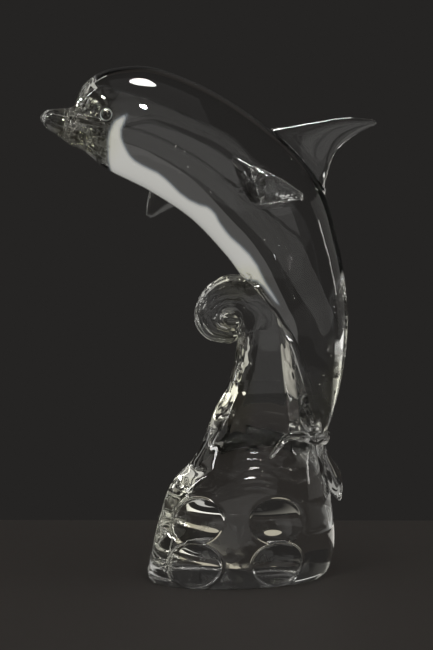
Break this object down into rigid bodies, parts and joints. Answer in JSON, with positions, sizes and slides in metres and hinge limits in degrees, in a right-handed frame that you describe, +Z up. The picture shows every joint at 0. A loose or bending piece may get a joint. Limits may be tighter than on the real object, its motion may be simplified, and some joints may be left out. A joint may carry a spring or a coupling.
{
  "type": "glass dolphin sculpture",
  "caption": "Solid clear glass sculpture of a leaping dolphin with a white belly, carried by a curling glass wave with a dimpled foot.",
  "frame": {"origin": "middle of the flat underside of the wave's foot", "axes": "+Z up, the dolphin's beak points to -X, its left flank faces -Y"},
  "size_m": [0.2219, 0.107, 0.3394],
  "materials": {
    "dolphin_glass": "fire-polished, clear",
    "wave_glass": "fire-polished, clear"
  },
  "bodies": {
    "root": {"dolphin": "dolphin_glass", "wave": "wave_glass"}
  },
  "joints": []
}
